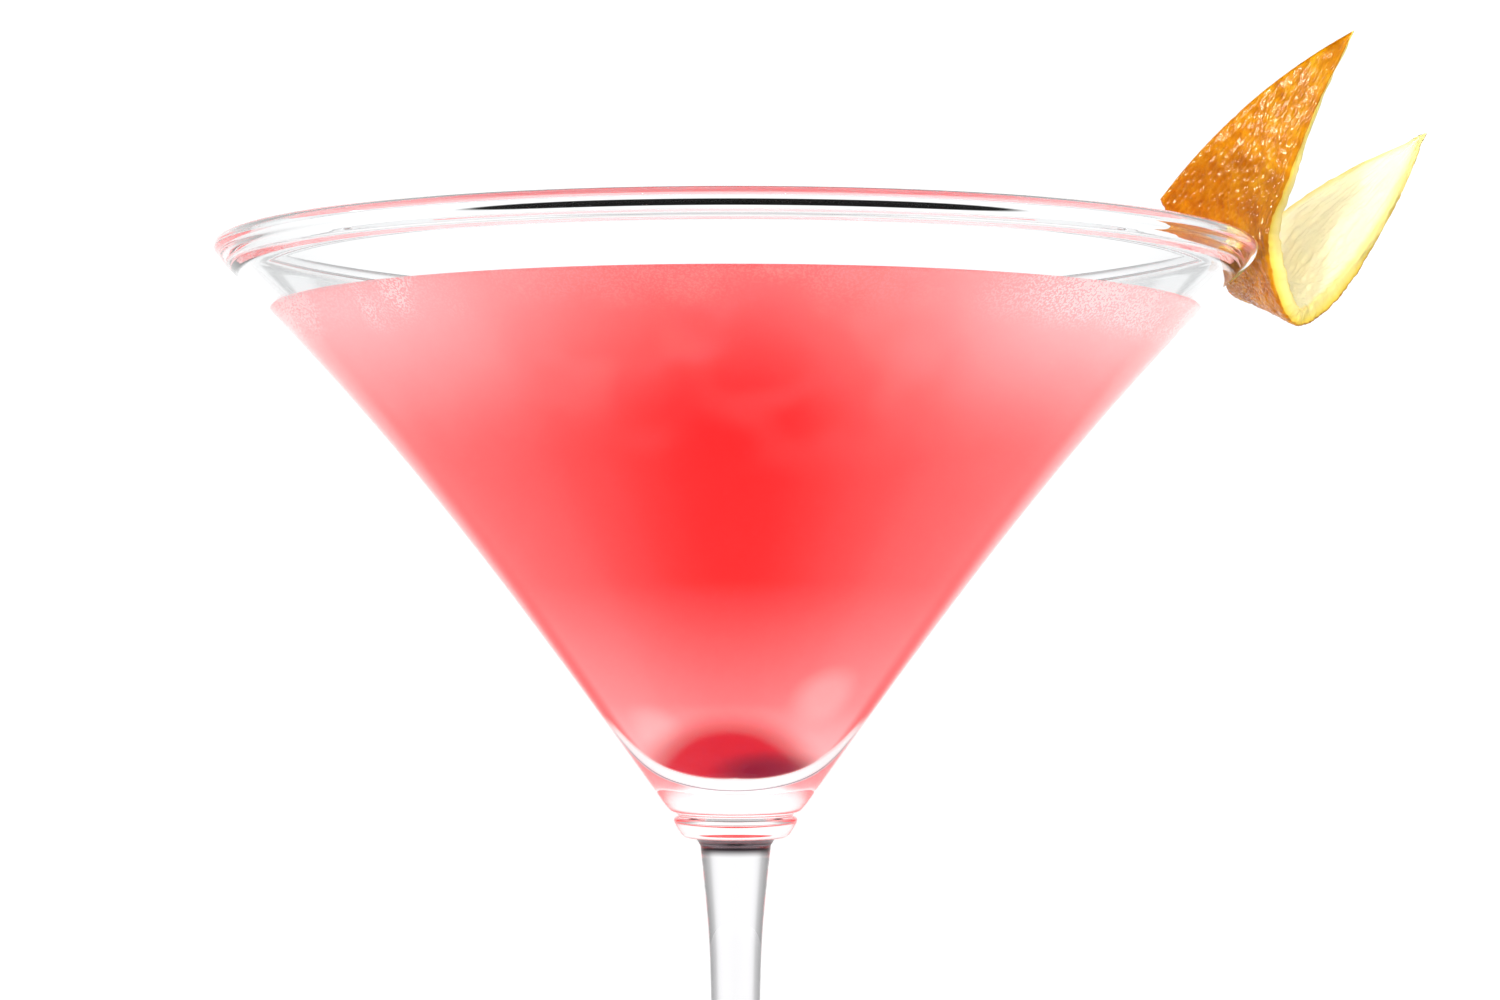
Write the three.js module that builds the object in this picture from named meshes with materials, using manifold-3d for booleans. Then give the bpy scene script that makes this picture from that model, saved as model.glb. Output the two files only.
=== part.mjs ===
// Watermelon cosmopolitan in a stemmed cocktail glass with a folded orange peel on the rim.
// Millimetres, +Z up, origin at the middle of the foot's underside, peel on the +X side.
import * as THREE from "three";
import { mergeVertices } from "three/addons/utils/BufferGeometryUtils.js";
import Module from "manifold-3d";

// Glass sizes
const turns = 52;
const glassHeight = 176.65;
const lipRadius = 0.95;
const lipCentre = 57.2;
const lipEnd = THREE.MathUtils.degToRad(150);
const wallWidth = 2.6;
const bowlStart = 116.35;
const bowlStartRadius = 9.88;
const bowlSlope = 0.72;
const bowlFlare = 3.0e-5;
const wellFloor = 117.5;
const wellRadius = 15.8;
const wellAngle = THREE.MathUtils.degToRad(53.9);
const collarTop = 112.45;
const collarFloor = 110.1;
const collarRadius = 6.95;
const stemTopRadius = 4.0;
const stemWaist = 2.6;
const footRadius = 38;
const footEdge = 1.7;

// Drink sizes
const drinkLevel = 169.9;
const drinkGap = 0.3;
const meniscus = 0.35;

// Peel sizes
const peelThickness = 2.0;
const peelTipThickness = 0.5;
const slitGap = 0.35;
const peelSteps = 44;
const peelRows = 9;

// The bowl's outer and inner radius at a height: a cone whose slope grows towards the lip
function outerRadius(z) {
  const d = z - bowlStart;
  return bowlStartRadius + bowlSlope * d + bowlFlare * d ** 3;
}
function innerRadius(z) {
  return outerRadius(z) - wallWidth;
}

function between(a, b, n, f) {
  return Array.from({ length: n + 1 }, (_, i) => f(a + ((b - a) * i) / n));
}

function arc(cx, cy, r, from, to, n) {
  return between(from, to, n, (t) => new THREE.Vector2(cx + r * Math.cos(t), cy + r * Math.sin(t)));
}

// Turns a profile of radius and height round the Z axis
function lathe(profile, sides = turns) {
  const points = profile.filter((p, i) => !i || p.distanceTo(profile[i - 1]) > 0.02);
  return new THREE.LatheGeometry(points, sides).rotateX(Math.PI / 2);
}

// Foot and stem: flat underside, rounded edge, one hollow sweep up to the waist, then a flare to the collar
function stemProfile() {
  const sweep = new THREE.CubicBezierCurve(
    new THREE.Vector2(footRadius - 0.7, footEdge),
    new THREE.Vector2(13, 3.6),
    new THREE.Vector2(3.1, 7),
    new THREE.Vector2(stemWaist + 0.1, 34),
  );
  const flare = new THREE.SplineCurve([
    new THREE.Vector2(stemWaist + 0.1, 34),
    new THREE.Vector2(stemWaist, 62),
    new THREE.Vector2(stemWaist + 0.17, 92),
    new THREE.Vector2(stemWaist + 0.45, 99.4),
    new THREE.Vector2(stemTopRadius - 0.42, 105.1),
    new THREE.Vector2(stemTopRadius, 109.1),
  ]);
  return [
    new THREE.Vector2(0, 0),
    ...arc(footRadius - 0.85, 0.85, 0.85, -Math.PI / 2, Math.PI / 2.6, 4),
    ...sweep.getPoints(10),
    ...flare.getPoints(7),
  ];
}

// Collar: a short ring, wider at its top, with a fine groove under the bowl
function collarProfile() {
  return [
    new THREE.Vector2(stemTopRadius + 0.5, collarFloor - 0.25),
    new THREE.Vector2(collarRadius - 1.1, collarFloor),
    new THREE.Vector2(collarRadius - 0.62, collarFloor + 0.55),
    new THREE.Vector2(collarRadius, collarTop - 0.65),
    new THREE.Vector2(collarRadius - 0.06, collarTop - 0.25),
    new THREE.Vector2(collarRadius - 0.5, collarTop),
    new THREE.Vector2(collarRadius + 0.45, collarTop + 0.62),
    new THREE.Vector2(collarRadius + 1.3, collarTop + 1.6),
  ];
}

// The well: the round bottom of the bowl's inside, grown or shrunk by a gap
function wellProfile(gap, n) {
  const r = wellRadius - gap;
  const z = wellFloor + wellRadius;
  return arc(0, z, r, wellAngle - Math.PI / 2, -Math.PI / 2, n);
}

function glassProfile() {
  const z = glassHeight - lipRadius;
  const wellTop = wellFloor + wellRadius * (1 - Math.cos(wellAngle));
  const profile = [
    ...stemProfile(),
    ...collarProfile(),
    ...between(bowlStart, z - lipRadius, 9, (h) => new THREE.Vector2(outerRadius(h), h)),
    ...arc(lipCentre, z, lipRadius, -Math.PI / 6, lipEnd, 6),
    ...between(z, wellTop + 0.6, 9, (h) => new THREE.Vector2(innerRadius(h), h)),
    ...wellProfile(0, 7),
  ];
  profile[profile.length - 1].x = 0;
  return profile;
}

// Drink: follows the bowl's inside at a small gap, with its edge drawn up the wall a little
function drinkProfile() {
  const gap = drinkGap * 1.3;
  const wellTop = wellFloor + wellRadius * (1 - Math.cos(wellAngle));
  const edge = drinkLevel + meniscus;
  const side = between(wellTop + 0.6, edge, 8, (h) => new THREE.Vector2(innerRadius(h) - gap, h));
  const rise = between(0.6, 6, 4, (d) => {
    const r = innerRadius(edge) - gap - d;
    return new THREE.Vector2(r, drinkLevel + meniscus * Math.exp(-d * 1.1));
  });
  const profile = [...wellProfile(drinkGap, 7).reverse(), ...side, ...rise, new THREE.Vector2(0, drinkLevel)];
  profile[0].x = 0;
  return profile;
}

// The peel's two long edges on its skin side, as offsets from the point where it hooks over the lip.
// x runs outwards, y away from the viewer and z up. The near edge goes from tip to tip by the fold.
const hook = new THREE.Vector3(57.3, -9.5, 176);
const nearEdge = curveOf([
  [9.0, -10.2, 21.9],
  [5.0, -6.3, 12.8],
  [2.8, -3.6, 6.3],
  [1.0, -1.8, 1.1],
  [1.6, -1.6, -4.3],
  [3.3, -0.3, -8.2],
  [5.0, 1.2, -9.1],
  [6.9, 2.6, -8.5],
  [10.2, 4.6, -5.7],
  [13.8, 6.2, -0.8],
  [17.5, 7.9, 5.8],
  [21.0, 9.4, 13.3],
]);
const farEdge = curveOf([
  [-9.2, 11.0, 6.1],
  [-7.4, 11.0, 3.0],
  [-5.6, 11.2, 0.9],
  [-3.6, 11.6, -0.3],
  [-2.0, 12.8, -1.5],
  [-1.5, 14.6, -2.8],
  [-0.6, 16.6, -3.9],
  [0.8, 18.2, -4.4],
  [2.9, 18.6, -3.1],
  [5.5, 15.8, 3.9],
  [11.3, 12.6, 8.5],
  [20.4, 9.8, 13.0],
]);
const sideBulge = 1.6;

function curveOf(rows) {
  return new THREE.CatmullRomCurve3(rows.map((p) => new THREE.Vector3(...p)), false, "centripetal");
}

// A point of the skin: along the edges by u, across from the near edge to the far one by v, bulging a little
function skinPoint(u, v) {
  const near = nearEdge.getPoint(u);
  const far = farEdge.getPoint(u);
  const rise = farEdge.getPoint(0).sub(farEdge.getPoint(0.1)).normalize();
  const bulge = sideBulge * 4 * v * (1 - v) * Math.max(0, 1 - u / 0.3);
  return near.lerp(far, v).addScaledVector(rise, bulge);
}

function skinNormal(u, v) {
  const h = 0.002;
  const along = skinPoint(Math.min(u + h, 1), v).sub(skinPoint(Math.max(u - h, 0), v));
  const across = skinPoint(u, 1).sub(skinPoint(u, 0));
  return along.cross(across).normalize();
}

// Peel: a block bent to the skin surface, thinner at the tips
function peelGeometry() {
  const block = new THREE.BoxGeometry(1, 1, 1, peelSteps, peelRows, 1);
  const place = block.attributes.position;
  for (let i = 0; i < place.count; i++) {
    const u = place.getX(i) + 0.5;
    const v = place.getY(i) + 0.5;
    const w = 0.5 + place.getZ(i);
    const tip = Math.min(1, 3.2 * u + 0.7 * v, 3.5 * (1 - u));
    const thick = THREE.MathUtils.lerp(peelTipThickness, peelThickness, tip);
    const p = skinPoint(u, v).addScaledVector(skinNormal(u, v), w * thick).add(hook);
    place.setXYZ(i, p.x, p.y, p.z);
  }
  return block;
}

// The lip and wall grown by the slit's gap, which the peel is cut round
function slitGeometry() {
  const z = glassHeight - lipRadius;
  const grown = lipRadius + slitGap;
  const side = slitGap * Math.SQRT2;
  const low = glassHeight - 16;
  return lathe([
    new THREE.Vector2(innerRadius(low) - side, low),
    ...between(low, z - 0.5, 5, (h) => new THREE.Vector2(outerRadius(h) + side, h)),
    ...arc(lipCentre, z, grown, -Math.PI / 8, lipEnd, 7),
    ...between(z, low, 5, (h) => new THREE.Vector2(innerRadius(h) - side, h)),
  ]);
}

const wasm = await Module();
wasm.setup();

function solidOf(geometry) {
  geometry.deleteAttribute("normal");
  geometry.deleteAttribute("uv");
  const merged = mergeVertices(geometry, 1e-4);
  return new wasm.Manifold(
    new wasm.Mesh({
      numProp: 3,
      vertProperties: new Float32Array(merged.attributes.position.array),
      triVerts: new Uint32Array(merged.index.array),
    }),
  );
}

function geometryOf(solid) {
  const mesh = solid.getMesh();
  const geometry = new THREE.BufferGeometry();
  geometry.setAttribute("position", new THREE.BufferAttribute(mesh.vertProperties, 3));
  geometry.setIndex(new THREE.BufferAttribute(mesh.triVerts, 1));
  geometry.computeVertexNormals();
  return geometry;
}

// The largest body left after a cut
function mainBody(solid) {
  return solid.decompose().sort((a, b) => b.volume() - a.volume())[0];
}

function meshOf(name, geometry, material) {
  const mesh = new THREE.Mesh(geometry, new THREE.MeshStandardMaterial(material));
  mesh.name = name;
  return mesh;
}

const peelSolid = mainBody(solidOf(peelGeometry()).subtract(solidOf(slitGeometry())));

const cocktail = new THREE.Group();
cocktail.add(
  meshOf("glass", lathe(glassProfile()), {
    color: 0xf4f8f9,
    roughness: 0.03,
    metalness: 0,
    transparent: true,
    opacity: 0.25,
  }),
  meshOf("drink", lathe(drinkProfile()), { color: 0xff4a4e, roughness: 0.15, metalness: 0 }),
  meshOf("orange_peel", geometryOf(peelSolid), { color: 0xe8860c, roughness: 0.42, metalness: 0 }),
);

export default cocktail;
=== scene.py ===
import math
import bpy
import numpy as np
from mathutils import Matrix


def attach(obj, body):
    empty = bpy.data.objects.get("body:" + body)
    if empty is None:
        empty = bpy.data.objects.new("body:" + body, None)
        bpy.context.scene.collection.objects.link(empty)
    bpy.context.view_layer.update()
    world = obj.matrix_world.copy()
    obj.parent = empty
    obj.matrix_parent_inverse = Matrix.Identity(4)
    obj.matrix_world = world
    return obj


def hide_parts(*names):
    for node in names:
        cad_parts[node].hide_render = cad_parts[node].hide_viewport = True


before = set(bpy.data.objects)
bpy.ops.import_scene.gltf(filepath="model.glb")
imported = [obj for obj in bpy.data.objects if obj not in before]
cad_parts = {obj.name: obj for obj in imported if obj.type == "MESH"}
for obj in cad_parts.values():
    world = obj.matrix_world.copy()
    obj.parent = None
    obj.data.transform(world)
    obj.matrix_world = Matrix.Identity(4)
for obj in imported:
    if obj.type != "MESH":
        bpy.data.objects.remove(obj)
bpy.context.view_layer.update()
mm = 0.001
print("frame loaded")


# Curve through points: centripetal spline, each span a cubic whose end slopes weigh the
# neighbouring spans by the root of their lengths; t runs 0..1 over the points by index.
def curveThrough(points, t):
    p = np.asarray(points, float)
    p = np.vstack([2 * p[0] - p[1], p, 2 * p[-1] - p[-2]])
    spans = len(p) - 3
    x = np.clip(np.asarray(t, float), 0, 1) * spans
    i = np.minimum(x.astype(int), spans - 1)
    f = (x - i)[:, None]
    a, b, c, d = p[i], p[i + 1], p[i + 2], p[i + 3]
    ab, bc, cd = (np.sqrt(np.linalg.norm(q - r, axis=1))[:, None] for q, r in ((b, a), (c, b), (d, c)))
    m = ((b - a) / ab - (c - a) / (ab + bc) + (c - b) / bc) * bc
    n = ((c - b) / bc - (d - b) / (bc + cd) + (d - c) / cd) * bc
    return b + m * f + (3 * (c - b) - 2 * m - n) * f**2 + (2 * (b - c) + m + n) * f**3


# Soft random field: random values on a whole-number lattice, joined by smooth steps.
def softField(x, y, seed):
    table = np.random.default_rng(seed).random((64, 64)) * 2 - 1
    i, j = np.floor(x).astype(int), np.floor(y).astype(int)
    f, g = x - i, y - j
    f, g = f * f * (3 - 2 * f), g * g * (3 - 2 * g)
    near = table[i % 64, j % 64] * (1 - f) + table[(i + 1) % 64, j % 64] * f
    far = table[i % 64, (j + 1) % 64] * (1 - f) + table[(i + 1) % 64, (j + 1) % 64] * f
    return near * (1 - g) + far * g


def arcOf(centre, radius, start, stop, count):
    a = np.radians(np.linspace(start, stop, count))
    return np.stack([centre[0] + radius * np.cos(a), centre[1] + radius * np.sin(a)], 1)


def putMesh(name, points, quads, triangles=None, values=None):
    mesh = bpy.data.meshes.new(name)
    parts = [np.asarray(quads, int).reshape(-1, 4)]
    if triangles is not None:
        parts.append(np.asarray(triangles, int).reshape(-1, 3))
    sizes = np.concatenate([np.full(len(q), q.shape[1]) for q in parts])
    corners = np.concatenate([q.ravel() for q in parts])
    mesh.vertices.add(len(points))
    mesh.vertices.foreach_set("co", np.asarray(points, np.float32).ravel())
    mesh.loops.add(len(corners))
    mesh.loops.foreach_set("vertex_index", corners.astype(np.int32))
    mesh.polygons.add(len(sizes))
    mesh.polygons.foreach_set("loop_start", (np.cumsum(sizes) - sizes).astype(np.int32))
    mesh.polygons.foreach_set("use_smooth", np.ones(len(sizes), bool))
    for key, value in (values or {}).items():
        mesh.attributes.new(key, "FLOAT", "POINT").data.foreach_set("value", np.asarray(value, np.float32))
    mesh.update(calc_edges=True)
    mesh.validate()
    obj = bpy.data.objects.new(name, mesh)
    bpy.context.scene.collection.objects.link(obj)
    return obj


# Turned piece: each profile point (radius, height) is carried round the axis, x = r cos a, y = r sin a.
# Profile ends that lie on the axis become single points; a ring profile closes on itself.
def turnedPiece(name, profile, sides, ring=False, **marks):
    prof = np.asarray(profile, float)
    body = prof if ring else prof[1:-1]
    a = np.linspace(0, 2 * np.pi, sides, endpoint=False)
    pts = np.stack([body[:, :1] * np.cos(a), body[:, :1] * np.sin(a), np.repeat(body[:, 1:], sides, 1)], 2)
    pts = pts.reshape(-1, 3) * mm
    rows = len(body)
    i, j = np.meshgrid(np.arange(rows if ring else rows - 1), np.arange(sides), indexing="ij")
    k = (i + 1) % rows
    q = (j + 1) % sides
    quads = np.stack([i * sides + j, i * sides + q, k * sides + q, k * sides + j], 2).reshape(-1, 4)
    if ring:
        return putMesh(name, pts, quads)
    low, high = len(pts), len(pts) + 1
    pts = np.vstack([pts, [[0, 0, prof[0, 1] * mm], [0, 0, prof[-1, 1] * mm]]])
    s = np.arange(sides)
    last = (rows - 1) * sides
    caps = np.vstack([np.stack([np.full(sides, low), (s + 1) % sides, s], 1),
                      np.stack([np.full(sides, high), last + s, last + (s + 1) % sides], 1)])
    carried = {key: np.concatenate([np.repeat(mark[1:-1], sides), mark[[0, -1]]])
               for key, mark in marks.items()}
    return putMesh(name, pts, quads, caps, carried)


def newMaterial(name):
    material = bpy.data.materials.new(name)
    material.use_nodes = True
    tree = material.node_tree
    return material, tree, tree.nodes["Principled BSDF"]


def addNode(tree, kind, **settings):
    node = tree.nodes.new(kind)
    for key, value in settings.items():
        if hasattr(node, key):
            setattr(node, key, value)
        else:
            node.inputs[key].default_value = value
    return node


def setSockets(shader, values):
    for key, value in values.items():
        shader.inputs[key].default_value = value


def objectPlace(tree):
    return addNode(tree, "ShaderNodeTexCoord").outputs["Object"]


def axesOf(tree, vector):
    node = addNode(tree, "ShaderNodeSeparateXYZ")
    tree.links.new(vector, node.inputs[0])
    return node.outputs["X"], node.outputs["Y"], node.outputs["Z"]


def markOf(tree, name):
    return addNode(tree, "ShaderNodeAttribute", attribute_name=name).outputs["Fac"]


def noiseOf(tree, vector, **settings):
    node = addNode(tree, "ShaderNodeTexNoise", **settings)
    tree.links.new(vector, node.inputs["Vector"])
    return node.outputs["Fac"]


def absolute(tree, value):
    node = addNode(tree, "ShaderNodeMath", operation="ABSOLUTE")
    tree.links.new(value, node.inputs[0])
    return node.outputs[0]


def times(tree, a, b):
    node = addNode(tree, "ShaderNodeMath", operation="MULTIPLY")
    tree.links.new(a, node.inputs[0])
    tree.links.new(b, node.inputs[1])
    return node.outputs[0]


# Vector arithmetic on one linked vector and up to two fixed ones
def vectorMath(tree, operation, vector, *fixed):
    node = addNode(tree, "ShaderNodeVectorMath", operation=operation)
    tree.links.new(vector, node.inputs[0])
    for i, value in enumerate(fixed):
        node.inputs[i + 1].default_value = value
    return node.outputs["Value" if operation in ("LENGTH", "DISTANCE") else "Vector"]


def rampOf(tree, stops, source):
    node = tree.nodes.new("ShaderNodeValToRGB")
    elements = node.color_ramp.elements
    while len(elements) < len(stops):
        elements.new(0.5)
    for item, (at, colour) in zip(elements, stops):
        item.position = at
        item.color = (*colour, 1)
    tree.links.new(source, node.inputs[0])
    return node.outputs[0]


def ease(tree, value, low, high, start, stop, kind="SMOOTHSTEP"):
    node = addNode(tree, "ShaderNodeMapRange", interpolation_type=kind)
    setSockets(node, {"From Min": low, "From Max": high, "To Min": start, "To Max": stop})
    tree.links.new(value, node.inputs["Value"])
    return node.outputs[0]


# Ease over a span in millimetres
def easeOver(tree, value, span, start, stop):
    return ease(tree, value, span[0] * mm, span[1] * mm, start, stop)


# Strength that follows (place, strength) steps, joined by a smooth curve
def steps(tree, stops, value):
    curve = tree.nodes.new("ShaderNodeFloatCurve")
    top = max(strength for at, strength in stops)
    points = curve.mapping.curves[0].points
    points[0].location = (0, stops[0][1] / top)
    points[1].location = (1, stops[-1][1] / top)
    for at, strength in stops[1:]:
        points.new(at, strength / top)
    curve.mapping.update()
    tree.links.new(value, curve.inputs["Value"])
    node = addNode(tree, "ShaderNodeMath", operation="MULTIPLY")
    tree.links.new(curve.outputs[0], node.inputs[0])
    node.inputs[1].default_value = top
    return node.outputs[0]


# Lays a colour, fixed or linked, over another one
def blend(tree, under, over, factor, **settings):
    node = addNode(tree, "ShaderNodeMix", data_type="RGBA", **settings)
    tree.links.new(factor, node.inputs["Factor"])
    tree.links.new(under, node.inputs[6])
    if isinstance(over, tuple):
        node.inputs[7].default_value = (*over, 1)
    else:
        tree.links.new(over, node.inputs[7])
    return node.outputs[2]


def dress(obj, material, node):
    obj.data.materials.clear()
    obj.data.materials.append(material)
    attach(obj, "root")
    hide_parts(node)


glass = {"wall": 2.6, "bowlStart": 116.35, "bowlRadius": 9.88, "slope": 0.72, "flare": 3.0e-5,
         "wellFloor": 117.5, "wellRadius": 15.8, "wellAngle": 53.9, "wallTop": 173.7, "insideTop": 174.2,
         "footRadius": 38.0, "footEdge": 0.85, "sides": 204, "wallRows": 84, "wellRows": 40,
         "footTop": [(37.3, 1.7), (13, 3.6), (3.1, 7), (2.7, 34)],
         "stem": [(2.7, 34), (2.6, 62), (2.77, 92), (3.05, 99.4), (3.58, 105.1), (4.0, 109.1)],
         "collar": [(4.5, 109.85), (5.85, 110.1), (6.33, 110.65), (6.95, 111.8), (6.89, 112.2),
                    (6.45, 112.45), (7.4, 113.07), (8.25, 114.05)],
         "lip": [(57.34, 174.22), (57.83, 174.97), (58.27, 175.52), (58.17, 176.2), (57.89, 176.46),
                 (57.22, 176.68), (56.54, 176.57), (56.1, 176.06), (55.86, 175.15), (55.48, 174.75)],
         "ior": 1.5, "mirror": (0.35, 0.35, 0.35),
         # grey and dark are painted shade on the glass, used up the stem and where stem and collar meet
         "clear": (0.985, 0.995, 1.0), "grey": (0.93, 0.925, 0.94), "dark": (0.03, 0.02, 0.025),
         "paintedShadeSpan": (60, 115), "paintedShade": [(71, "clear"), (87.5, "grey"), (107.96, "grey"),
                                         (108.7, "dark"), (109.9, "dark"), (110.2, "clear")]}


# Bowl wall: radius = start + slope d + flare d cubed, d the height above the bowl's start.
def outerRadius(z):
    d = z - glass["bowlStart"]
    return glass["bowlRadius"] + glass["slope"] * d + glass["flare"] * d**3


def innerRadius(z):
    return outerRadius(z) - glass["wall"]


def wellTop():
    return glass["wellFloor"] + glass["wellRadius"] * (1 - math.cos(math.radians(glass["wellAngle"])))


# Half section of the glass: foot edge arc, foot top as a cubic with four control points, stem, collar and
# lip as curves through points, the bowl's wall, and its inside down to a ball-shaped well.
def glassProfile():
    e = glass["footEdge"]
    r = np.linspace(0, glass["footRadius"] - e - 0.4, 26)
    under = np.stack([r, np.zeros_like(r)], 1)
    edge = arcOf((glass["footRadius"] - e, e), e, -90, 69, 18)
    t = np.linspace(0, 1, 44)[1:, None]
    c = np.array(glass["footTop"], float)
    top = c[0] * (1 - t)**3 + 3 * c[1] * t * (1 - t)**2 + 3 * c[2] * t**2 * (1 - t) + c[3] * t**3
    stem = curveThrough(glass["stem"], np.linspace(0, 1, 60)[1:])
    collar = curveThrough(glass["collar"], np.linspace(0, 1, 44))
    z = np.linspace(glass["bowlStart"], glass["wallTop"], glass["wallRows"])
    outside = np.stack([outerRadius(z), z], 1)
    z = np.linspace(glass["insideTop"], wellTop() + 0.6, glass["wallRows"])
    inside = np.stack([innerRadius(z), z], 1)
    lip = curveThrough([outside[-1], *glass["lip"], inside[0]], np.linspace(0, 1, 90)[1:-1])
    well = arcOf((0, glass["wellFloor"] + glass["wellRadius"]), glass["wellRadius"],
                 glass["wellAngle"] - 90, -90, glass["wellRows"])
    return np.vstack([under, edge, top, stem, collar, outside, lip, inside, well])


def glassMaterial():
    material, tree, shader = newMaterial("clear_glass")
    low, high = glass["paintedShadeSpan"]
    x, y, z = axesOf(tree, objectPlace(tree))
    neck = ease(tree, z, low * mm, high * mm, 0, 1, "LINEAR")
    paintedShade = [((at - low) / (high - low), glass[name]) for at, name in glass["paintedShade"]]
    tree.links.new(rampOf(tree, paintedShade, neck), shader.inputs["Base Color"])  # painted shade: grey up the stem, dark where stem and collar meet
    mirror = rampOf(tree, [(0.3, glass["mirror"]), (0.7, (0, 0, 0))], markOf(tree, "wet"))
    tree.links.new(mirror, shader.inputs["Specular Tint"])  # no mirror where the drink touches
    setSockets(shader, {"Roughness": 0.0, "Transmission Weight": 1.0, "IOR": glass["ior"]})
    return material


drink = {"floor": 117.0, "level": 169.9, "meniscus": 0.35, "bite": 0.16,
         "sides": 200, "wellRows": 40, "sideRows": 110,
         "juiceAndLight": [(0.0, (0.99, 0.5, 0.51)), (0.1, (0.99, 0.34, 0.35)), (0.17, (0.99, 0.18, 0.19)),
                   (0.42, (0.99, 0.017, 0.019)), (0.75, (0.99, 0.007, 0.009)), (0.92, (0.99, 0.033, 0.036)),
                   (0.99, (0.99, 0.045, 0.049))],
         "cloudAndSideLight": (0.99, 0.58, 0.6), "sideLightByHeight": (0.22, 0.95), "rim": (0.85, 0.008, 0.014),
         "spread": [(0.0, 0.0), (0.1, 0.01), (0.2, 0.06), (0.43, 0.31), (0.72, 0.72), (0.86, 0.76),
                    (0.95, 0.66)],
         "highlightSpots": [((-8.5, -9.5, 122.6), 4.5), ((9.5, -12.0, 126.5), 5.0)], "highlightColour": (0.95, 0.5, 0.5),
         "white": (0.99, 0.93, 0.93), "crescent": (-6, -4.8), "crescentBend": -0.18,
         "vivid": (0.62, 0.006, 0.014), "deep": (0.2, 0.002, 0.011), "lensFront": (-5.6, -4.8),
         "lens": [("vivid", (-0.6, 118.4), (9.2, 6.4), (0.6, 1.15)),
                  ("deep", (3.2, 118.6), (6.5, 2.6), (0.25, 1.1))],
         "base": (0.95, 0.16, 0.18), "baseFront": (-1, -0.4), "baseSides": (2.6, 4.8),
         "line": (0.3, 0.2, 0.24), "lineFront": (-1.6, -1.2), "lineBack": (-1, -0.5),
         "frost": (0.99, 0.92, 0.92), "frostSides": (22, 40),
         "froth": [(0.35, (0.99, 0.21, 0.23)), (0.65, (0.99, 0.29, 0.31))],
         "ior": 1.345, "paintedGlow": 0.76, "depth": 0.009}

section = glassProfile()
touched = np.arange(len(section)) >= len(section) - glass["wallRows"] - glass["wellRows"]
wetWall = (touched & (section[:, 1] < drink["level"])).astype(float)
glassPiece = turnedPiece("cocktail_glass", section, glass["sides"], wet=wetWall)
dress(glassPiece, glassMaterial(), "glass")
print("glass turned", len(glassPiece.data.polygons))


# Half section of the drink: the well's ball grown by the bite, the wall's inside plus the bite, and a level
# top that climbs at the wall by meniscus times exp(-1.1 d), d the distance from the wall.
def drinkProfile():
    bite = drink["bite"]
    well = arcOf((0, glass["wellFloor"] + glass["wellRadius"]), glass["wellRadius"] + bite,
                 -90, glass["wellAngle"] - 90, drink["wellRows"])
    top = drink["level"] + drink["meniscus"]
    z = np.linspace(wellTop() + 0.6, top, drink["sideRows"])
    side = np.stack([innerRadius(z) + bite * 1.35, z], 1)
    d = np.concatenate([np.linspace(0.05, 6, 40), [9, 14, 20, 28, 36, 44]])
    r = side[-1, 0] - d
    cover = np.stack([r, drink["level"] + drink["meniscus"] * np.exp(-1.1 * d)], 1)
    return np.vstack([well, side, cover, [[0, drink["level"]]]])


# Along the wall: red in the middle, paler at the sides by painted light, deeper again at the very edge by
# painted shade
def wallColour(tree, where, height):
    bearing = vectorMath(tree, "NORMALIZE", vectorMath(tree, "MULTIPLY", where, (1, 1, 0)))
    share = absolute(tree, axesOf(tree, bearing)[0])
    high = ease(tree, height, 0.65, 1.02, *drink["sideLightByHeight"])
    colour = rampOf(tree, drink["juiceAndLight"], height)  # painted light: paler near the bottom and top, where light shines through the thin drink
    # painted light: paler towards the sides, more so higher up
    colour = blend(tree, colour, drink["cloudAndSideLight"], times(tree, steps(tree, drink["spread"], share), high))
    # painted shade: deeper at the very edge
    colour = blend(tree, colour, drink["rim"], ease(tree, share, 0.9, 1.0, 0, 0.7))
    under = times(tree, ease(tree, share, 0.9, 0.99, 0, 1), ease(tree, height, 0.55, 0.95, 1, 0))
    colour = blend(tree, colour, drink["rim"], under)  # painted shade: deeper along the lower wall near the edge
    # painted highlights: two pale blotches low on the front wall
    for spot, size in drink["highlightSpots"]:
        gap = vectorMath(tree, "DISTANCE", where, [c * mm for c in spot])
        colour = blend(tree, colour, drink["highlightColour"], easeOver(tree, gap, (0.3 * size, size), 0.5, 0))
    return colour


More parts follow.
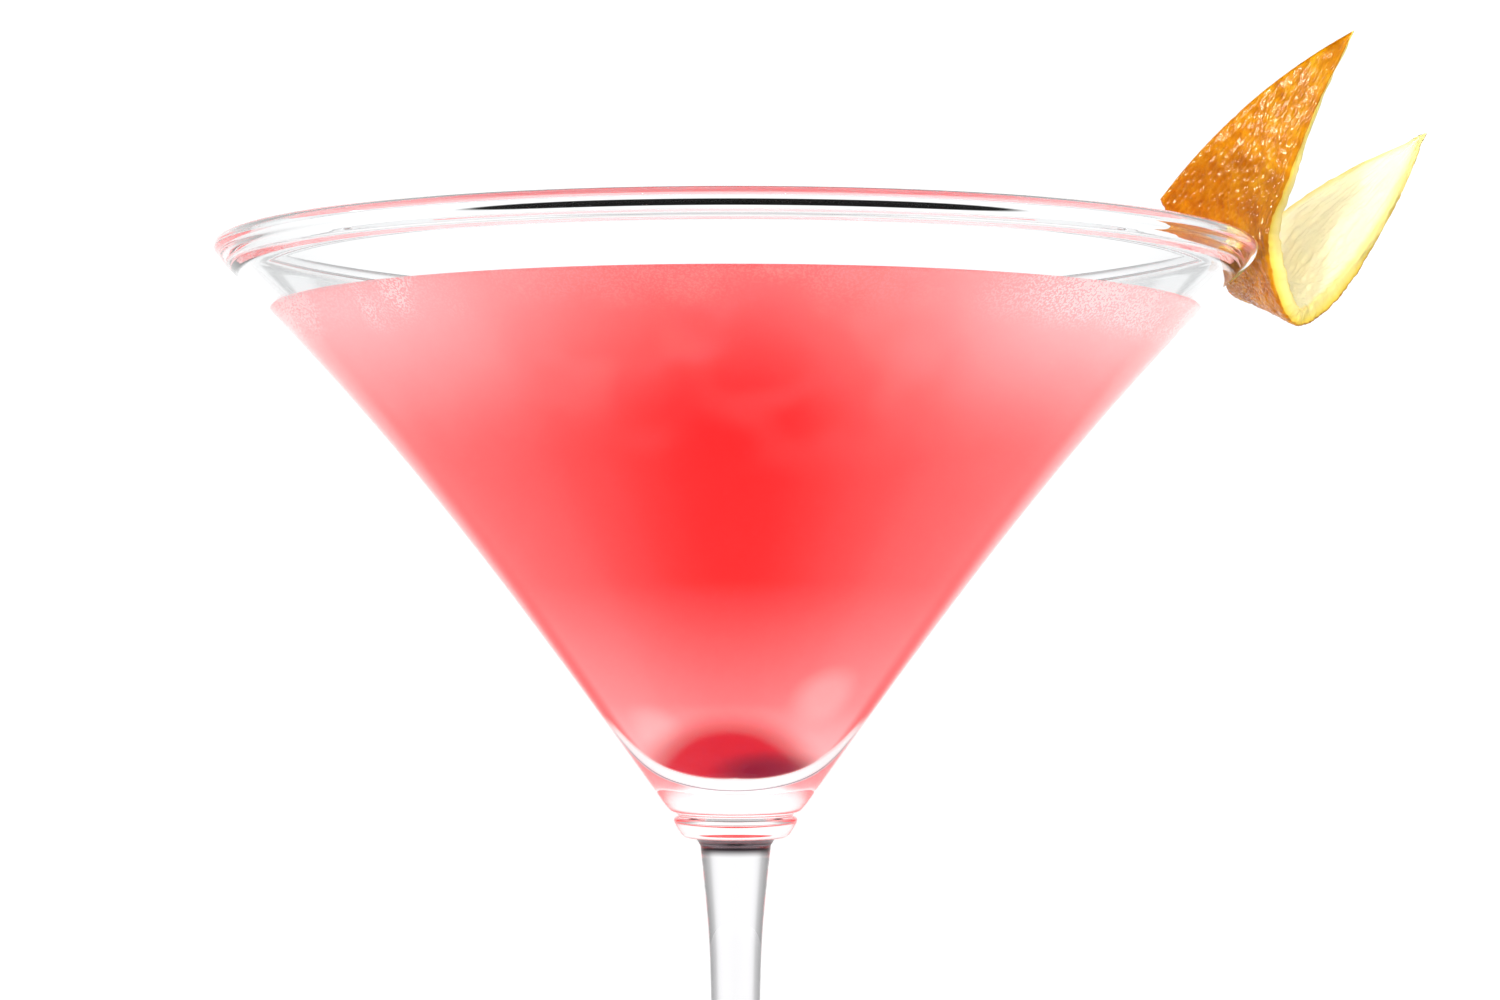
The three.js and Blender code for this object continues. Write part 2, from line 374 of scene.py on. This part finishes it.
# In the round bottom, from front to back: dark patches of painted shade, a white crescent of painted
# reflection, a thin line and a pink base
def wellColour(tree, colour, where, height):
    x, y, z = axesOf(tree, where)
    aside = absolute(tree, x)
    inWell = ease(tree, height, 0.1, 0.15, 1, 0)
    lead = addNode(tree, "ShaderNodeMath", operation="MULTIPLY_ADD")
    tree.links.new(aside, lead.inputs[0])
    lead.inputs[1].default_value = drink["crescentBend"]
    tree.links.new(y, lead.inputs[2])
    # painted reflection: the white crescent of light in the round bottom
    crescent = times(tree, inWell, easeOver(tree, lead.outputs[0], drink["crescent"], 0, 1))
    colour = blend(tree, colour, drink["white"], crescent)
    # painted shade: the dark patches in front of the crescent
    ahead = easeOver(tree, lead.outputs[0], drink["lensFront"], 1, 0)
    for name, middle, reach, spread in drink["lens"]:
        grow = (1 / (reach[0] * mm), 0, 1 / (reach[1] * mm))
        shift = (-middle[0] / reach[0], 0, -middle[1] / reach[1])
        away = vectorMath(tree, "LENGTH", vectorMath(tree, "MULTIPLY_ADD", where, grow, shift))
        colour = blend(tree, colour, drink[name], times(tree, ahead, ease(tree, away, *spread, 1, 0)))
    behind = times(tree, inWell, easeOver(tree, y, drink["baseFront"], 0, 1))
    base = times(tree, behind, easeOver(tree, aside, drink["baseSides"], 0, 1))
    colour = blend(tree, colour, drink["base"], base)
    line = times(tree, inWell, easeOver(tree, y, drink["lineFront"], 0, 0.9))
    line = times(tree, line, easeOver(tree, y, drink["lineBack"], 1, 0))
    return blend(tree, colour, drink["line"], line)


# Near the top: faint wisps, foam on the open top and frosty specks along the edge
def topColour(tree, colour, where, height, bare):
    aside = absolute(tree, axesOf(tree, where)[0])
    speck = noiseOf(tree, where, Scale=4000.0, Detail=1.0, Roughness=0.6)
    drift = noiseOf(tree, where, Scale=110.0, Detail=1.0)
    wisp = times(tree, ease(tree, drift, 0.45, 0.75, 0, 0.05), ease(tree, height, 0.55, 0.85, 0, 1))
    colour = blend(tree, colour, drink["cloudAndSideLight"], wisp)
    colour = blend(tree, colour, rampOf(tree, drink["froth"], drift), ease(tree, bare, 0.3, 0.7, 0, 1))
    frost = times(tree, ease(tree, height, 0.9, 0.985, 0, 1), ease(tree, drift, 0.35, 0.6, 0.15, 1))
    frost = times(tree, frost, easeOver(tree, aside, drink["frostSides"], 0.04, 1))
    frost = times(tree, frost, ease(tree, bare, 0.3, 0.7, 1, 0))
    return blend(tree, colour, drink["frost"], times(tree, frost, ease(tree, speck, 0.47, 0.58, 0, 0.85)))


def juiceMaterial():
    material, tree, shader = newMaterial("cloudy_watermelon_juice")
    where = objectPlace(tree)
    bare = markOf(tree, "open")
    height = ease(tree, axesOf(tree, where)[2], drink["floor"] * mm, drink["level"] * mm, 0, 1, "LINEAR")
    colour = wellColour(tree, wallColour(tree, where, height), where, height)
    colour = topColour(tree, colour, where, height, bare)
    tree.links.new(colour, shader.inputs["Base Color"])
    # painted glow: the same colour shines as emission
    tree.links.new(colour, shader.inputs["Emission Color"])
    mirror = rampOf(tree, [(0.3, (0, 0, 0)), (0.7, (1, 1, 1))], bare)
    tree.links.new(mirror, shader.inputs["Specular Tint"])  # only the top mirrors
    shader.subsurface_method = "RANDOM_WALK_SKIN"
    setSockets(shader, {"Emission Strength": drink["paintedGlow"],  # painted glow standing in for light the drink passes on from behind
                        "Roughness": 0.08, "IOR": drink["ior"], "Subsurface Weight": 1.0,
                        "Subsurface Radius": (1, 1, 1), "Subsurface Scale": drink["depth"]})
    return material


section = drinkProfile()
uncovered = np.arange(len(section)) >= drink["wellRows"] + drink["sideRows"]
drinkPiece = turnedPiece("watermelon_drink", section, drink["sides"], open=uncovered.astype(float))
dress(drinkPiece, juiceMaterial(), "drink")
print("drink poured", len(drinkPiece.data.polygons))


peel = {"hook": (57.3, -9.5, 176.0), "bulge": 1.6, "thick": 2.0, "thin": 0.5, "slit": 0.3,
        "along": 300, "across": 110, "through": 7, "length": 62.0, "width": 24.0,
        "near": [(9.0, -10.2, 21.9), (5.0, -6.3, 12.8), (2.8, -3.6, 6.3), (1.0, -1.8, 1.1), (1.6, -1.6, -4.3),
                 (3.3, -0.3, -8.2), (5.0, 1.2, -9.1), (6.9, 2.6, -8.5), (10.2, 4.6, -5.7), (13.8, 6.2, -0.8),
                 (17.5, 7.9, 5.8), (21.0, 9.4, 13.3)],
        "far": [(-9.2, 11.0, 6.1), (-7.4, 11.0, 3.0), (-5.6, 11.2, 0.9), (-3.6, 11.6, -0.3),
                (-2.0, 12.8, -1.5), (-1.5, 14.6, -2.8), (-0.6, 16.6, -3.9), (0.8, 18.2, -4.4),
                (2.9, 18.6, -3.1), (5.5, 15.8, 3.9), (11.3, 12.6, 8.5), (20.4, 9.8, 13.0)],
        "glandPitch": 0.95, "glandRadius": 0.34, "glandHeight": 0.18,
        "skin": [(0.3, (0.4, 0.127, 0.0)), (0.5, (0.53, 0.198, 0.0)), (0.72, (0.67, 0.318, 0.002))],
        "pore": (0.9, 0.82, 0.6), "border": (0.88, 0.66, 0.10), "sheen": (1.0, 0.88, 0.6, 1),
        "pith": [(0.05, (0.80, 0.42, 0.02)), (0.22, (0.84, 0.60, 0.09)), (0.45, (0.93, 0.82, 0.36)),
                 (0.85, (0.96, 0.88, 0.58))],
        "roughness": (0.15, 0.75), "gloss": 0.4, "paintedGlow": 0.16}


# Skin of the peel: straight lines from the near edge to the far edge, v across, lifted near its top end
# by bulge times 4 v (1 - v).
def skinAt(u, v):
    near, far = curveThrough(peel["near"], u), curveThrough(peel["far"], u)
    rise = np.asarray(peel["far"][0], float) - curveThrough(peel["far"], [0.1])[0]
    rise /= np.linalg.norm(rise)
    lift = peel["bulge"] * 4 * v * (1 - v) * np.maximum(0, 1 - u / 0.3)
    return near + (far - near) * v[:, None] + lift[:, None] * rise


# Points of a closed box lattice, nu by nv by nw, surface only: returns u, v, w in 0..1 and its quads.
def boxShell(nu, nv, nw):
    faces = []
    for axis, end in ((0, 0), (0, 1), (1, 0), (1, 1), (2, 0), (2, 1)):
        n = [nu, nv, nw]
        side = n.pop(axis)
        p, q = np.meshgrid(np.arange(n[0] - 1), np.arange(n[1] - 1), indexing="ij")
        corners = []
        for dp, dq in ((0, 0), (1, 0), (1, 1), (0, 1)):
            ijk = [p + dp, q + dq]
            ijk.insert(axis, np.full_like(p, end * (side - 1)))
            corners.append((ijk[0] * nv + ijk[1]) * nw + ijk[2])
        face = np.stack(corners, 2).reshape(-1, 4)
        faces.append(face if (axis == 1) != (end == 1) else face[:, ::-1])
    ids, quads = np.unique(np.concatenate(faces), return_inverse=True)
    i, jk = np.divmod(ids, nv * nw)
    j, k = np.divmod(jk, nw)
    return i / (nu - 1), j / (nv - 1), k / (nw - 1), quads.reshape(-1, 4)


# Oil glands: bumps on a jittered grid of cells, each falling off as exp(-(distance / radius)^2).
def glandField(s, t, pitch, radius, seed):
    table = np.random.default_rng(seed).random((64, 64, 3))
    x, y = s / pitch, t / pitch
    i, j = np.floor(x).astype(int), np.floor(y).astype(int)
    total = np.zeros_like(x)
    for di in (-1, 0, 1):
        for dj in (-1, 0, 1):
            r = table[(i + di) % 64, (j + dj) % 64]
            dx = x - (i + di + 0.15 + 0.7 * r[:, 0])
            dy = y - (j + dj + 0.15 + 0.7 * r[:, 1])
            bump = np.exp(-(dx**2 + dy**2) * (pitch / radius)**2)
            total = np.maximum(total, (0.45 + 0.55 * r[:, 2]) * bump)
    return total


# The peel: its skin, set back along the normal by w times the thickness, with glands and soft lumps on
# the skin side, crumbs on the pith side, rounded corners and a ragged cut edge.
def peelPiece():
    u, v, w, quads = boxShell(peel["along"], peel["across"], peel["through"])
    h = 0.004
    along = skinAt(np.minimum(u + h, 1), v) - skinAt(np.maximum(u - h, 0), v)
    across = skinAt(u, np.minimum(v + h, 1)) - skinAt(u, np.maximum(v - h, 0))
    normal = np.cross(along, across)
    normal /= np.linalg.norm(normal, axis=1)[:, None]
    s, t = u * peel["length"], v * peel["width"]
    share = np.minimum(1, np.minimum(3.2 * u + 0.7 * v, 3.5 * (1 - u)))
    thick = peel["thin"] + (peel["thick"] - peel["thin"]) * np.clip(share, 0, 1)
    width = np.linalg.norm(skinAt(u, np.ones_like(v)) - skinAt(u, np.zeros_like(v)), axis=1)
    edge = np.minimum(np.minimum(v, 1 - v) * width, np.minimum(u, 1 - u) * peel["length"])
    gland = glandField(s, t, peel["glandPitch"], peel["glandRadius"], 5) * (1 - w)**3
    lump = 0.14 * softField(s / 1.7, t / 1.7, 11) + 0.07 * softField(s / 0.8, t / 0.8, 12)
    skinRelief = (peel["glandHeight"] * gland + 0.6 * lump * np.clip(edge / 0.8, 0.2, 1)) * (1 - w)
    crumbs = -0.16 * (softField(s / 1.1, t / 1.1, 21) + 0.6 * softField(s / 0.5, t / 0.5, 22)) * w
    roundOver = 0.2 * np.exp(-(edge / 0.22)**2) * ((1 - w)**2 - 0.6 * w**2)
    lift = w * thick + skinRelief + crumbs * np.minimum(1, thick) + roundOver
    place = skinAt(u, v) + normal * lift[:, None]
    sideways = across / np.linalg.norm(across, axis=1)[:, None]
    ragged = 0.16 * softField(s / 1.3, w * 2.1, 31) + 0.09 * softField(s / 0.5, w * 3.7, 32)
    border = np.exp(-(np.minimum(v, 1 - v) * width / 0.5)**2) * np.sign(0.5 - v)
    place += sideways * (ragged * border)[:, None]
    place += np.asarray(peel["hook"])
    return putMesh("orange_twist", place * mm, quads, None, {"depth": w, "gland": gland, "border": edge})


# Slit cutter: the rim's wall section grown by the slit, carried round the axis; its faces count as pith.
def slitCutter():
    g = peel["slit"]
    z = np.linspace(150, 174.6, 40)
    lip = arcOf((57.2, 175.7), 0.98 + g, -30, 150, 20)
    inner = np.stack([innerRadius(z[::-1]) - g * 1.4, z[::-1]], 1)
    outer = np.stack([outerRadius(z) + g * 1.4, z], 1)
    cutter = turnedPiece("slit_cutter", np.vstack([outer, lip, inner]), 256, ring=True)
    pith = np.ones(len(cutter.data.vertices), np.float32)
    cutter.data.attributes.new("depth", "FLOAT", "POINT").data.foreach_set("value", pith)
    return cutter


def cutSlit(piece, cutter):
    slit = piece.modifiers.new("slit", "BOOLEAN")
    slit.operation = "DIFFERENCE"
    slit.solver = "MANIFOLD"
    slit.object = cutter
    bpy.context.view_layer.update()
    cut = bpy.data.meshes.new_from_object(piece.evaluated_get(bpy.context.evaluated_depsgraph_get()))
    piece.modifiers.clear()
    piece.data = cut
    cut.name = piece.name
    bpy.data.objects.remove(cutter)
    cut.polygons.foreach_set("use_smooth", np.ones(len(cut.polygons), bool))


def rindMaterial():
    material, tree, shader = newMaterial("orange_rind")
    where = objectPlace(tree)
    depth = markOf(tree, "depth")
    skin = rampOf(tree, peel["skin"], noiseOf(tree, where, Scale=420.0, Detail=4.0, Roughness=0.6))
    skin = blend(tree, skin, peel["pore"], markOf(tree, "gland"), blend_type="MULTIPLY")
    pith = rampOf(tree, peel["pith"], depth)
    pith = blend(tree, pith, peel["border"], ease(tree, markOf(tree, "border"), 0.1, 1.2, 0.65, 0))
    inner = ease(tree, depth, 0.02, 0.12, 0, 1, "LINEAR")
    colour = blend(tree, skin, pith, inner)
    tree.links.new(colour, shader.inputs["Base Color"])
    # painted glow: the same colour shines as emission
    tree.links.new(colour, shader.inputs["Emission Color"])
    tree.links.new(ease(tree, inner, 0, 1, *peel["roughness"], "LINEAR"), shader.inputs["Roughness"])
    bump = addNode(tree, "ShaderNodeBump", Strength=0.25, Distance=0.0002)
    tree.links.new(noiseOf(tree, where, Scale=2600.0, Detail=3.0), bump.inputs["Height"])
    tree.links.new(bump.outputs[0], shader.inputs["Normal"])
    setSockets(shader, {"Emission Strength": peel["paintedGlow"],  # painted glow standing in for light that comes through the rind
                        "Specular IOR Level": peel["gloss"], "Specular Tint": peel["sheen"],
                        "Subsurface Weight": 0.12, "Subsurface Radius": (1.0, 0.6, 0.15),
                        "Subsurface Scale": 0.0015})
    return material


twist = peelPiece()
cutSlit(twist, slitCutter())
dress(twist, rindMaterial(), "orange_peel")
print("peel twisted", len(twist.data.polygons))


room = {"walls": [(0.0, 0.26), (0.3, 0.3), (0.75, 0.6), (0.93, 1.1)], "ceiling": 0.0, "wallTop": 0.22,
        "fade": 0.05, "gable": (0.05, 0.2, 0.0, 0.25),
        "glow": [(0.0, 0.3), (0.3, 0.32), (0.75, 0.55), (0.93, 0.97)], "near": 0.5, "nearReach": (0.35, 0.72),
        "floor": (0.45, 0.45, 0.45, 1),
        "floorProfile": [(0, -30), (6000, -30), (6000, -0.02), (2000, -0.02), (500, -0.02), (0, -0.02)]}


# Pale floor: an even glow near the glass, and further out one that grows towards the back
def floorMaterial():
    material, tree, shader = newMaterial("white_floor")
    where = objectPlace(tree)
    back = axesOf(tree, vectorMath(tree, "NORMALIZE", where))[1]
    level = addNode(tree, "ShaderNodeMix", data_type="FLOAT")
    reach = vectorMath(tree, "LENGTH", where)
    tree.links.new(ease(tree, reach, *room["nearReach"], 0, 1), level.inputs["Factor"])
    level.inputs[2].default_value = room["near"]
    tree.links.new(steps(tree, room["glow"], back), level.inputs[3])
    tree.links.new(level.outputs[0], shader.inputs["Emission Strength"])
    setSockets(shader, {"Base Color": room["floor"], "Roughness": 0.6, "Emission Color": (1, 1, 1, 1)})
    return material


# White walls, brightest behind the glass and dim to the sides and front, under a dark ceiling
# that starts higher at the sides.
def paintWalls():
    world = bpy.data.worlds.new("white_room")
    bpy.context.scene.world = world
    world.use_nodes = True
    tree = world.node_tree
    sky = tree.nodes["Background"]
    x, y, z = axesOf(tree, addNode(tree, "ShaderNodeTexCoord").outputs["Generated"])
    over = addNode(tree, "ShaderNodeMath", operation="SUBTRACT")
    tree.links.new(z, over.inputs[0])
    tree.links.new(ease(tree, absolute(tree, x), *room["gable"]), over.inputs[1])
    roof = ease(tree, over.outputs[0], room["wallTop"], room["wallTop"] + room["fade"], 1.0, room["ceiling"])
    tree.links.new(times(tree, steps(tree, room["walls"], y), roof), sky.inputs["Strength"])
    sky.inputs["Color"].default_value = (1, 1, 1, 1)


floor = turnedPiece("floor", room["floorProfile"], 96)
floor.data.materials.append(floorMaterial())
paintWalls()

garnish = (0.062, -0.006, 0.185)
keyLight = {"place": (-0.5, -0.55, 0.75), "aim": (0.05, 0, 0.17), "size": (0.35, 0.5), "power": 1.5}
beams = {"garnish_left": {"place": (-0.25, -0.8, 0.55), "aim": garnish,
                          "angle": 5, "radius": 0.05, "power": 14},
         "garnish_right": {"place": (0.18, -0.75, 0.6), "aim": garnish,
                           "angle": 5, "radius": 0.05, "power": 38},
         "glint_light": {"place": (-0.55, -0.05, 0.25), "aim": garnish,
                         "angle": 7, "radius": 0.03, "power": 5},
         "fold_light": {"place": (-0.28, -0.5, 0.06), "aim": (0.066, -0.006, 0.169),
                        "angle": 3, "radius": 0.05, "power": 95}}


def hangLamp(lamp, place, aim):
    obj = bpy.data.objects.new(lamp.name, lamp)
    bpy.context.scene.collection.objects.link(obj)
    obj.location = place
    d = np.asarray(aim, float) - np.asarray(place, float)
    obj.rotation_euler = (math.acos(-d[2] / np.linalg.norm(d)), 0, math.atan2(d[1], d[0]) - math.pi / 2)


softbox = bpy.data.lights.new("key_light", "AREA")
softbox.shape = "RECTANGLE"
softbox.size, softbox.size_y = keyLight["size"]
softbox.energy = keyLight["power"]
hangLamp(softbox, keyLight["place"], keyLight["aim"])
for name, beam in beams.items():  # narrow soft beams on the peel
    spot = bpy.data.lights.new(name, "SPOT")
    spot.spot_size = math.radians(beam["angle"])
    spot.spot_blend = 0.6
    spot.shadow_soft_size = beam["radius"]
    spot.energy = beam["power"]
    hangLamp(spot, beam["place"], beam["aim"])
print("room lit", 1 + len(beams))

view = {"place": (1.62, -377.6, 138.15), "pitch": 91.49, "lens": 80.26}
cam = bpy.data.objects.new("camera", bpy.data.cameras.new("camera"))
bpy.context.scene.collection.objects.link(cam)
cam.location = [c * mm for c in view["place"]]
cam.rotation_euler = (math.radians(view["pitch"]), 0, 0)
cam.data.lens = view["lens"]
cam.data.sensor_width = 36
cam.data.clip_start = 0.01
bpy.context.scene.camera = cam

scene = bpy.context.scene
scene.view_settings.view_transform = "Standard"
scene.cycles.max_bounces = 64
scene.cycles.transmission_bounces = 48
scene.cycles.transparent_max_bounces = 16
scene.cycles.glossy_bounces = 12
scene.cycles.caustics_refractive = True
scene.cycles.caustics_reflective = True
scene.cycles.use_denoising = True
